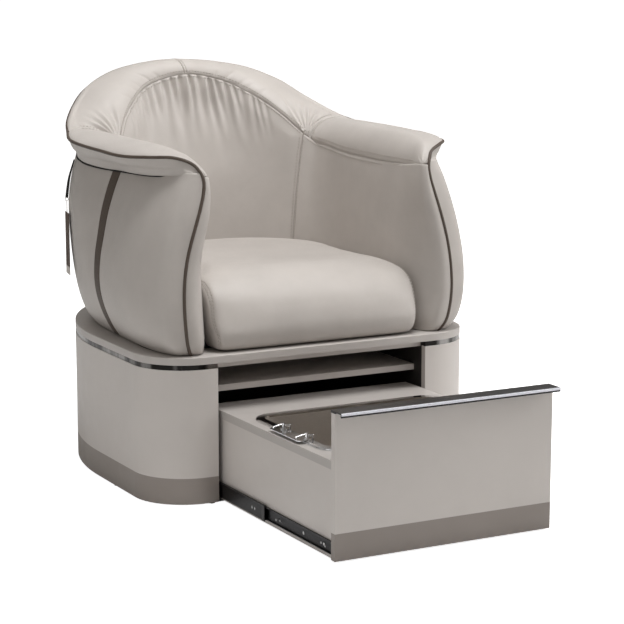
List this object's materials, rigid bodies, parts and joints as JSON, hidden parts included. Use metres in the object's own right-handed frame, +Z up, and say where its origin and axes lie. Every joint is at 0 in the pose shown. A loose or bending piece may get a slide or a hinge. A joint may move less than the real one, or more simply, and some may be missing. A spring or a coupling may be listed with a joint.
{
  "type": "pedicure spa chair",
  "caption": "Upholstered tub chair on a D-shaped plinth, with a foot-bath drawer that pulls out of the plinth on telescopic slides and an open shelf under the seat.",
  "frame": {"origin": "centre of the object's bounding box on the floor, with the drawer open as drawn", "axes": "+Z up, the sitter faces -Y and the drawer opens towards -Y, +X to the right of someone facing +Y"},
  "size_m": [0.9286, 1.5346, 1.015],
  "materials": {
    "greige_leather": "soft satin grain",
    "taupe_leather": "satin",
    "greige_lacquer": "matt lacquer",
    "taupe_lacquer": "matt lacquer",
    "dark_lacquer": "matt lacquer",
    "black_nickel": "polished",
    "chrome": "polished",
    "steel_bowl": "fine brushed",
    "slide_steel": "black zinc",
    "anthracite": "satin anodised",
    "screw_steel": "zinc plated",
    "plywood": "sanded",
    "webbing": "woven",
    "glide_plastic": "moulded",
    "tag_card": "uncoated card",
    "tag_ribbon": "woven ribbon"
  },
  "bodies": {
    "chair": {"plinth_shell_left": "greige_lacquer", "plinth_shell_right": "greige_lacquer", "kick_band_left": "taupe_lacquer", "kick_band_right": "taupe_lacquer", "trim_strip": "black_nickel", "bay_wall_left": "dark_lacquer", "bay_wall_right": "dark_lacquer", "bay_partition": "dark_lacquer", "top_rail": "greige_lacquer", "storage_shelf": "greige_lacquer", "glides": "glide_plastic", "seat_board_front": "greige_lacquer", "seat_board_rear": "greige_lacquer", "side_cover_left": "greige_leather", "side_cover_right": "greige_leather", "contrast_strip_left": "taupe_leather", "contrast_strip_right": "taupe_leather", "rear_cover": "greige_leather", "arm_pad_left": "greige_leather", "arm_pad_right": "greige_leather", "back_pad": "greige_leather", "arm_collar_left": "greige_leather", "arm_collar_right": "greige_leather", "back_collar": "greige_leather", "seat_cushion": "greige_leather", "base_frame": "plywood", "arm_frame_left": "plywood", "arm_frame_right": "plywood", "back_frame": "plywood", "seat_webbing": "webbing", "body_bolts": "screw_steel", "slide_fixed_left": "slide_steel", "slide_fixed_right": "slide_steel", "slide_fixed_screws": "screw_steel", "tag_ribbon": "tag_ribbon", "hang_tag": "tag_card"},
    "drawer": {"drawer_panel": "greige_lacquer", "drawer_kick_band": "taupe_lacquer", "drawer_handle": "anthracite", "drawer_side_left": "greige_lacquer", "drawer_side_right": "greige_lacquer", "drawer_front_wall": "greige_lacquer", "drawer_back_wall": "greige_lacquer", "drawer_bottom": "greige_lacquer", "drawer_deck": "greige_lacquer", "panel_screws": "screw_steel", "foot_bath": "steel_bowl", "foot_bath_rim": "chrome", "drain_fitting": "chrome", "tap_plate": "chrome", "tap_body_rear": "chrome", "tap_body_front": "chrome", "slide_inner_left": "slide_steel", "slide_inner_right": "slide_steel", "slide_inner_screws": "screw_steel"},
    "slide_middle_left": {"slide_middle_left": "slide_steel"},
    "slide_middle_right": {"slide_middle_right": "slide_steel"},
    "drain_stopper": {"drain_stopper": "chrome"},
    "tap_lever_rear": {"tap_lever_rear": "chrome"},
    "tap_lever_front": {"tap_lever_front": "chrome"}
  },
  "joints": [
    {"name": "drawer_slide", "type": "slide", "parent": "chair", "child": "drawer", "axis": [0, -1, 0], "range_m": [-0.566, 0.034]},
    {"name": "middle_slide_left", "type": "slide", "parent": "chair", "child": "slide_middle_left", "axis": [0, -1, 0], "range_m": [-0.283, 0.017]},
    {"name": "middle_slide_right", "type": "slide", "parent": "chair", "child": "slide_middle_right", "axis": [0, -1, 0], "range_m": [-0.283, 0.017]},
    {"name": "stopper_travel", "type": "slide", "parent": "drawer", "child": "drain_stopper", "axis": [0, 0, 1], "range_m": [0, 0.006]},
    {"name": "tap_turn_rear", "type": "hinge", "parent": "drawer", "child": "tap_lever_rear", "pos_m": [-0.249, -0.4357, 0.245], "axis": [0, 0, 1], "range_deg": [0, 90]},
    {"name": "tap_turn_front", "type": "hinge", "parent": "drawer", "child": "tap_lever_front", "pos_m": [-0.249, -0.5467, 0.245], "axis": [0, 0, 1], "range_deg": [0, 90]}
  ],
  "couplings": [
    {"joint": "middle_slide_left", "follows": "drawer_slide", "ratio": 0.5},
    {"joint": "middle_slide_right", "follows": "drawer_slide", "ratio": 0.5}
  ]
}
